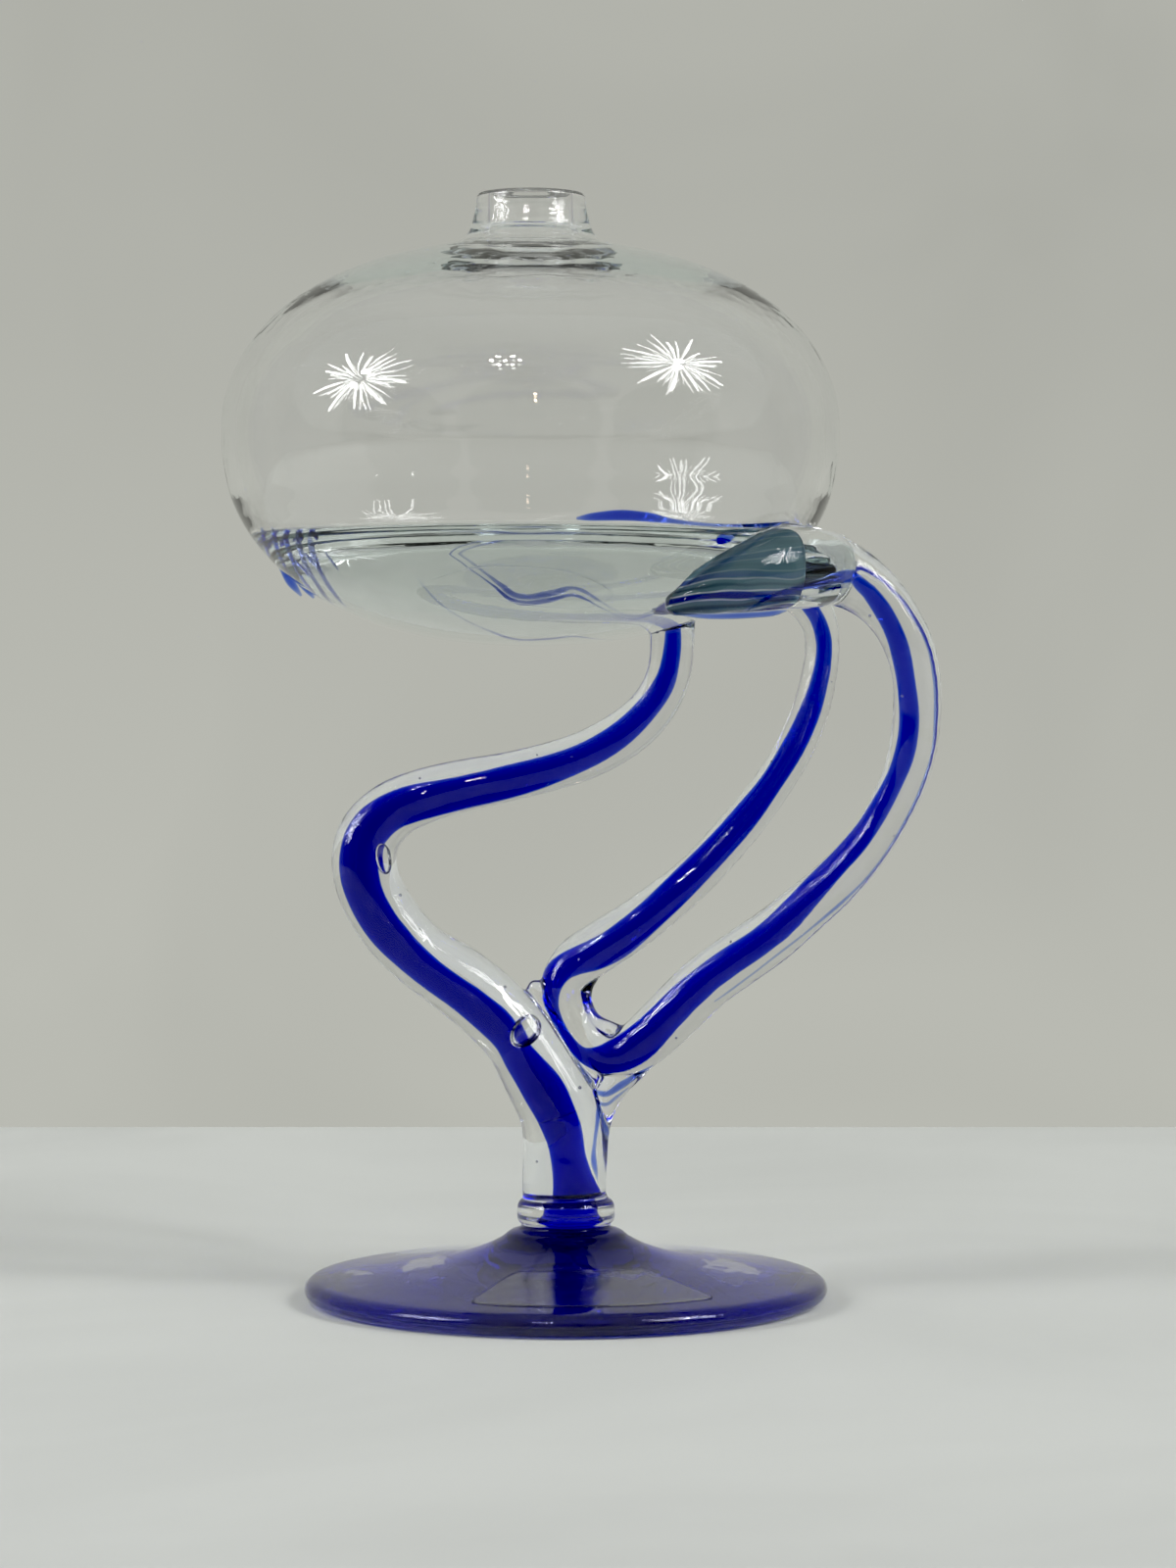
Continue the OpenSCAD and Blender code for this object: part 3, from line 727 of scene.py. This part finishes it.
def build_layer():
    """The cobalt sheet in the foot, drawn thin at its windows."""
    rings, turns = 64, 288
    thinnest = 0.02
    verts = []
    for side in (0, 1):
        for i in range(rings + 1):
            r = LAYER_IN + (LAYER_OUT - LAYER_IN) * i / rings
            low, top = foot_low(r) + UNDER, foot_top(r) - OVER
            for k in range(turns):
                a = 2 * math.pi * k / turns - math.pi
                thick = max((top - low) * layer_share(r, a), thinnest)
                verts.append((r * math.cos(a), r * math.sin(a), low + side * thick))
    faces = []
    half = (rings + 1) * turns
    for k in range(turns):
        j = (k + 1) % turns
        for i in range(rings):
            a, b, c, d = i * turns + k, i * turns + j, (i + 1) * turns + j, (i + 1) * turns + k
            faces.append((a, b, c, d))
            faces.append((half + a, half + d, half + c, half + b))
        faces.append((k, half + k, half + j, j))
        e, f = rings * turns + k, rings * turns + j
        faces.append((e, f, half + f, half + e))
    return mesh_object("foot_colour_layer", verts, faces)


piece(build_layer(), FOOT_BLUE, "foot_cobalt", "foot_colour")
TRUMPET = [(r, foot_low(r) + UNDER) for r in (0.0, 4, 8, 11, LAYER_IN - 0.02)]
TRUMPET += [(r, foot_top(r) - OVER) for r in (LAYER_IN - 0.02, 11.6, 10.4)]
TRUMPET += smooth_line([(8.4, 12.0), (7.4, 12.8), (6.9, 13.3), (5.8, 13.9), (4.2, 14.6), (3.3, 15.8),
                        (3.0, 17.8)], 4)
TRUMPET += [(0.0, 17.9)]
piece(lathe("foot_core_trumpet", TRUMPET, 128, 0.6, closed=False), TRUMPET_BLUE, "foot_cobalt", "foot_core")


# ---------------------------------------------------------------- colour in the pads and the font
def on_font(x, z, inset):
    """A point just under the font's front skin."""
    drop = FONT_DROP if z < FONT_MID else FONT_RISE
    share = 1 - (abs(z - FONT_MID) / (drop - inset)) ** FONT_POWER
    rho = (FONT_R - inset) * max(share, 0.0) ** (1 / FONT_POWER)
    depth = math.sqrt(max(rho * rho - (x - FONT_X) ** 2, 0.0))
    return x, -depth, z


def skin_route(points, inset):
    """A route under the font's front skin from x, z and radius."""
    return [(*on_font(x, z, inset), r) for x, z, r in points]


def pillow(name, outline, mat, slot, y_front, y_back, skew):
    """A closed lens with a given outline, seen from the front; skew turns its right side back."""
    rings = 16
    pts = np.array(smooth_line(outline + [outline[0]], 8)[:-1])
    mid = pts.mean(axis=0)
    n = len(pts)
    verts, rows = [], []
    for side in (-1, 1):
        for i in range(rings + (1 if side < 0 else 0)):
            s = math.sin(math.pi / 2 * i / rings)
            bulge = math.sqrt(max(1 - s * s, 0.0))
            row = []
            for k in range(n if i else 1):
                x, z = mid + (pts[k] - mid) * s
                y = (y_front + y_back) / 2 + side * (y_back - y_front) / 2 * bulge + skew * (x - mid[0])
                row.append(len(verts))
                verts.append((x, y, z))
            rows.append(row if i else row * n)
    front, back = rows[:rings + 1], rows[rings + 1:] + [rows[rings]]
    faces = []
    for grid, turn in ((front, -1), (back, 1)):
        for a, b in zip(grid[:-1], grid[1:]):
            for k in range(n):
                j = (k + 1) % n
                q = [a[k], b[k], b[j], a[j]][::turn]
                q = [v for m, v in enumerate(q) if v != q[m - 1]]
                if len(q) > 2:
                    faces.append(q)
    piece(mesh_object(name, verts, faces), mat, slot)


def side_route(number):
    """One of the streaks that curl down the font's left side: x, z and radius."""
    return [(SIDE_X + SIDE_STEP * number + SIDE_CURL * k * k, SIDE_Z - SIDE_FALL * k - SIDE_DROP * number,
             SIDE_R if 0 < k < 4 else SIDE_END_R) for k in range(5)]


pillow("right_pad_wedge", PAD_OUTLINE, TEAL, "streaked_glass", y_front=-33.0, y_back=-28.6, skew=0.5)
for number, route in enumerate(PAD_STREAKS):
    strand("pad_streak_%d" % (number + 1), route, COBALT, "cobalt_streak",
           ["pad_streak"] if number == 0 else [], sides=14, flat=0.6, wobble=0.12)
strand("floor_trail", skin_route(FLOOR_TRAIL, inset=1.3), COBALT, "cobalt_streak", ["floor_streak"],
       sides=20, flat=0.8)
strand("base_trail", skin_route(BASE_TRAIL, inset=1.1), STREAK, "cobalt_streak", ["base_streak"],
       sides=18, flat=0.5, wobble=0.1)
strand("base_swirl", skin_route(BASE_SWIRL, inset=2.0), SWIRL, "cobalt_streak", [], sides=12, flat=0.4,
       wobble=0.1)
for number, route in enumerate(TAIL_STREAKS):
    strand("tail_streak_%d" % (number + 1), route, COBALT, "streaked_glass", [], sides=12, flat=0.6,
           wobble=0.2)
for number in range(SIDE_COUNT):
    strand("side_streak_%d" % (number + 1), skin_route(side_route(number), inset=0.95),
           COBALT if number < SIDE_DARK else STREAK, "cobalt_streak",
           ["side_streak"] if number == 0 else [], sides=12, flat=0.5, wobble=0.15)


# ---------------------------------------------------------------- label film, ground rim, seeds
# the film on the front of the foot: middle and half of its radius, middle and half of its turn in degrees
FILM_R, FILM_HALF_R = 31.5, 10.3
FILM_TURN, FILM_HALF_TURN = -82, 33
FILM_THICK = 0.12


def build_film():
    """A blank patch of clear film with rounded corners, lying on the slope of the foot."""
    n = 48
    verts, faces = [], []
    for side in (0, 1):
        for i in range(n + 1):
            for k in range(n + 1):
                u, v = 2 * i / n - 1, 2 * k / n - 1
                shrink = 1 - 0.06 * (abs(u) * abs(v)) ** 4
                r = FILM_R + FILM_HALF_R * v * shrink
                a = math.radians(FILM_TURN + FILM_HALF_TURN * u * shrink)
                lift = 0.05 + 0.04 * math.sin(u * 9 + v * 5) ** 2 + FILM_THICK * side
                verts.append((r * math.cos(a), r * math.sin(a), foot_top(r) + lift))
    half = (n + 1) ** 2
    for i in range(n):
        for k in range(n):
            a = i * (n + 1) + k
            q = (a, a + n + 1, a + n + 2, a + 1)
            faces.append(tuple(half + w for w in reversed(q)))
            faces.append(q)
    ring = [k for k in range(n + 1)] + [i * (n + 1) + n for i in range(1, n + 1)]
    ring += [n * (n + 1) + k for k in range(n - 1, -1, -1)] + [i * (n + 1) for i in range(n - 1, 0, -1)]
    for p, q in zip(ring, ring[1:] + ring[:1]):
        faces.append((p, q, half + q, half + p))
    return mesh_object("blank_film", verts, faces)


piece(build_film(), FILM, "clear_film", "label_film")

# the neck's top edge is ground matt
GROUND_RIM = [
    (BORE_R + 0.1, NECK_TOP - 0.62), (9.75, NECK_TOP - 0.62), (9.85, NECK_TOP - 0.45),
    (9.6, NECK_TOP - 0.06), (9.2, NECK_TOP), (BORE_R + 0.5, NECK_TOP),
    (BORE_R + 0.15, NECK_TOP - 0.1), (BORE_R + 0.02, NECK_TOP - 0.5),
]
piece(lathe("neck_ground_rim", GROUND_RIM, 160, FONT_X), GROUND, "font_glass")


def build_seeds():
    """Tiny bubbles caught in the casings."""
    parts = []
    for k, (route, at, side, r) in enumerate(SEEDS):
        c, t = curve(route, 8)
        i = int(at * 8)
        s, u = frames(t[i:i + 1])
        place = c[i, :3] + s[0] * side * c[i, 3] - np.array([0, 1, 0]) * 0.35 * c[i, 3]
        parts.append(ball("seed_%d" % k, place, r, 8))
    return join("air_seeds", parts)


piece(build_seeds(), AIR, "cane_glass")

# clear eyes, where the left arm leaves the trunk and inside its knee: place, tilt and half sizes
EYES = (
    ("fork_eye", (-7.4, -3.6, 49.4), 0.6, (2.5, 1.6, 3.2)),
    ("knee_eye", (-33.6, -4.6, 81.0), -0.15, (1.5, 1.0, 3.0)),
)
for name, at, tilt, size in EYES:
    eye = ball(name, (0, 0, 0), 1.0, 24)
    eye.data.transform(Matrix.Translation(Vector(at) * MM) @ Matrix.Rotation(tilt, 4, "Y")
                       @ Matrix.Diagonal((*size, 1.0)))
    piece(eye, AIR, "cane_glass")


# ---------------------------------------------------------------- floor, backdrop and light
# a hair of air under the foot, so light reaches the cloth there
TABLE_GAP = 0.0002
TABLE_HALF, TABLE_FRONT, TABLE_BACK = 1.5, -1.2, 0.296
BACKDROP_Y, BACKDROP_HALF, BACKDROP_LOW, BACKDROP_HIGH = 0.9, 1.3, -0.4, 1.3
TABLE_TONE, BACKDROP_TONE, ROOM_TONE = (0.60, 0.62, 0.60), (0.44, 0.445, 0.405), (0.38, 0.38, 0.37)


def cloth(name, colour, emission, scale, axis, span, shade):
    """Faintly mottled cloth with painted light and shade graded along an axis; emission makes it glow."""
    m, nt, out = new_material(name)
    b = nt.nodes.new("ShaderNodeBsdfPrincipled")
    b.inputs["Roughness"].default_value = 0.8
    b.inputs["Specular IOR Level"].default_value = 0.2
    co = nt.nodes.new("ShaderNodeTexCoord")
    noise = node(nt, "ShaderNodeTexNoise", Scale=scale, Detail=3.0, Distortion=1.2)
    ramp = nt.nodes.new("ShaderNodeValToRGB")
    ramp.color_ramp.elements[0].position = 0.35
    ramp.color_ramp.elements[1].position = 0.65
    ramp.color_ramp.elements[0].color = (*[0.965 * v for v in colour], 1)
    ramp.color_ramp.elements[1].color = (*[1.035 * v for v in colour], 1)
    nt.links.new(co.outputs["Object"], noise.inputs["Vector"])
    nt.links.new(noise.outputs["Fac"], ramp.inputs["Fac"])
    toned = nt.nodes.new("ShaderNodeVectorMath")
    toned.operation = "SCALE"
    nt.links.new(ramp.outputs["Color"], toned.inputs[0])
    nt.links.new(along(nt, co, axis, span, shade), toned.inputs["Scale"])
    if emission:
        b.inputs["Base Color"].default_value = (0, 0, 0, 1)
        nt.links.new(toned.outputs[0], b.inputs["Emission Color"])
        b.inputs["Emission Strength"].default_value = emission
    else:
        nt.links.new(toned.outputs[0], b.inputs["Base Color"])
    nt.links.new(b.outputs[0], out.inputs["Surface"])
    return m


def quad(name, corners, mat):
    """A flat sheet of the surroundings."""
    me = bpy.data.meshes.new(name)
    me.from_pydata(corners, [], [(0, 1, 2, 3)])
    ob = bpy.data.objects.new(name, me)
    ob.data.materials.append(mat)
    SCENE.collection.objects.link(ob)


# painted shade: the table cloth is painted darker at the front, where the lamps stand close, and lighter
# towards the back
quad("table", [(-TABLE_HALF, TABLE_FRONT, -TABLE_GAP), (TABLE_HALF, TABLE_FRONT, -TABLE_GAP),
               (TABLE_HALF, TABLE_BACK, -TABLE_GAP), (-TABLE_HALF, TABLE_BACK, -TABLE_GAP)],
     cloth("table_cloth", TABLE_TONE, emission=0.0, scale=6.0, axis="Y", span=(-0.18, 0.25),
           shade=(0.90, 1.08)))
# painted light: the backdrop glows, painted brighter towards its bottom than above
quad("backdrop", [(-BACKDROP_HALF, BACKDROP_Y, BACKDROP_LOW), (BACKDROP_HALF, BACKDROP_Y, BACKDROP_LOW),
                  (BACKDROP_HALF, BACKDROP_Y, BACKDROP_HIGH), (-BACKDROP_HALF, BACKDROP_Y, BACKDROP_HIGH)],
     cloth("backdrop_cloth", BACKDROP_TONE, emission=1.0, scale=3.0, axis="Z", span=(0.0, 0.25),
           shade=(1.10, 0.985)))

world = bpy.data.worlds.new("world")
SCENE.world = world
world.use_nodes = True
bg = world.node_tree.nodes["Background"]
bg.inputs["Color"].default_value = (*ROOM_TONE, 1)
bg.inputs["Strength"].default_value = 1.0

# lamps and dark cards, in metres
AIM = Vector((0, 0, 0.12))
UMBRELLA_R = 0.46
UMBRELLAS = (("left", (-1.043, -0.446, 0.679)), ("right", (0.90, -0.464, 0.869)))
# two bulbs in front of each umbrella: how far in front, how far to either side, and their radius
BULB_AHEAD, BULB_ASIDE, BULB_R = 0.05, Vector((0.05, 0, 0.075)), 0.035
RING_AT, RING_R, RING_LAMP_R = Vector((-0.173, -0.948, 0.952)), 0.095, 0.016
WARM_X, WARM_Y, WARM_HEIGHTS, WARM_R = 0.043, -1.22, (0.40, 0.485), 0.012
# x, y and radius of the dark glowing cards, painted shade for the unlit side of the room, behind the camera,
# and their height
UNLIT_CARDS = ((0.0, -1.75, 0.85), (-1.5, -1.2, 0.75), (1.5, -1.2, 0.75))
UNLIT_Z = 0.2


def aimed(name, me, at, mat):
    """A sheet that faces the object and that the camera doesn't see directly."""
    ob = bpy.data.objects.new(name, me)
    SCENE.collection.objects.link(ob)
    me.materials.append(mat)
    ob.location = at
    ob.rotation_euler = (AIM - Vector(at)).to_track_quat("-Z", "Y").to_euler()
    ob.visible_camera = False


def disc(name, at, radius, mat, steps=24):
    """A round sheet."""
    verts = [(0, 0, 0)]
    for k in range(steps):
        a = 2 * math.pi * k / steps
        verts.append((radius * math.cos(a), radius * math.sin(a), 0))
    me = bpy.data.meshes.new(name)
    me.from_pydata(verts, [], [(0, k + 1, (k + 1) % steps + 1) for k in range(steps)])
    aimed(name, me, at, mat)


def glow(name, colour, strength):
    """A material that only gives light."""
    m, nt, out = new_material(name)
    e = nt.nodes.new("ShaderNodeEmission")
    e.inputs["Color"].default_value = (*colour, 1)
    e.inputs["Strength"].default_value = strength
    nt.links.new(e.outputs[0], out.inputs["Surface"])
    return m


def umbrella(name, at, mat):
    """Light through a pleated umbrella: bright rays out from its middle."""
    blades = 25
    verts, faces = [], []
    for k in range(blades):
        a = 2 * math.pi * (k + 0.32 * math.sin(5.1 * k)) / blades
        half = 0.042 + 0.02 * math.sin(3.7 * k + 1)
        reach = UMBRELLA_R * (0.80 + 0.20 * math.sin(2.3 * k + 0.5))
        base = len(verts)
        for r, turn in ((0.06, -half), (0.6 * reach, -half), (reach, -0.4 * half), (reach, 0.4 * half),
                        (0.6 * reach, half), (0.06, half)):
            verts.append((r * math.cos(a + turn), r * math.sin(a + turn), 0.0))
        faces.append(tuple(range(base, base + 6)))
    me = bpy.data.meshes.new(name)
    me.from_pydata(verts, [], faces)
    aimed(name, me, at, mat)


PLEATS = glow("umbrella", (1, 1, 1), 22.0)
BULB = glow("bulb", (1, 1, 1), 80.0)
for side, at in UMBRELLAS:
    at = Vector(at)
    umbrella("umbrella_" + side, at, PLEATS)
    toward = (AIM - at).normalized()
    for k, up in enumerate((-1, 1)):
        disc("bulb_%s_%d" % (side, k), at + toward * BULB_AHEAD + BULB_ASIDE * up, BULB_R, BULB)
# six small lamps in a ring that leans back, and a seventh in its middle
for k in range(7):
    a = 2 * math.pi * k / 6
    r = 0.0 if k == 6 else RING_R
    offset = Vector((r * math.cos(a), 0.3 * r * math.sin(a), 0.8 * r * math.sin(a)))
    disc("ring_lamp_%d" % k, RING_AT + offset, RING_LAMP_R, BULB)
# dark glowing cards: painted shade standing for the unlit room behind the camera
UNLIT = glow("painted_room_shade", (0.10, 0.10, 0.10), 1.0)
for k, (x, y, r) in enumerate(UNLIT_CARDS):
    disc("unlit_room_%d" % k, Vector((x, y, UNLIT_Z)), r, UNLIT, 48)
WARM = glow("warm_lamp", (1.0, 0.78, 0.6), 120.0)
for k, z in enumerate(WARM_HEIGHTS):
    disc("warm_lamp_%d" % k, Vector((WARM_X, WARM_Y, z)), WARM_R, WARM)

# the photo's deep blues have little haze over them
SCENE.view_settings.view_transform = "Standard"
SCENE.view_settings.use_curve_mapping = True
SCENE.view_settings.curve_mapping.black_level = (0.017, 0.017, 0.017)
SCENE.view_settings.curve_mapping.update()
# light runs a long way inside solid glass before it comes out
SCENE.cycles.max_bounces = 40
SCENE.cycles.glossy_bounces = 24
SCENE.cycles.transmission_bounces = 32

# ---------------------------------------------------------------- camera
# film width and lens in mm, place in metres, tilt down in degrees
SENSOR, LENS = 36.0, 89.5
CAMERA_AT = (0.00405, -0.715, 0.108)
CAMERA_TILT = 1.08
cam_data = bpy.data.cameras.new("camera")
cam = bpy.data.objects.new("camera", cam_data)
SCENE.collection.objects.link(cam)
cam_data.sensor_width = SENSOR
cam_data.lens = LENS
cam.location = CAMERA_AT
cam.rotation_euler = (math.radians(90 - CAMERA_TILT), 0, 0)
SCENE.camera = cam
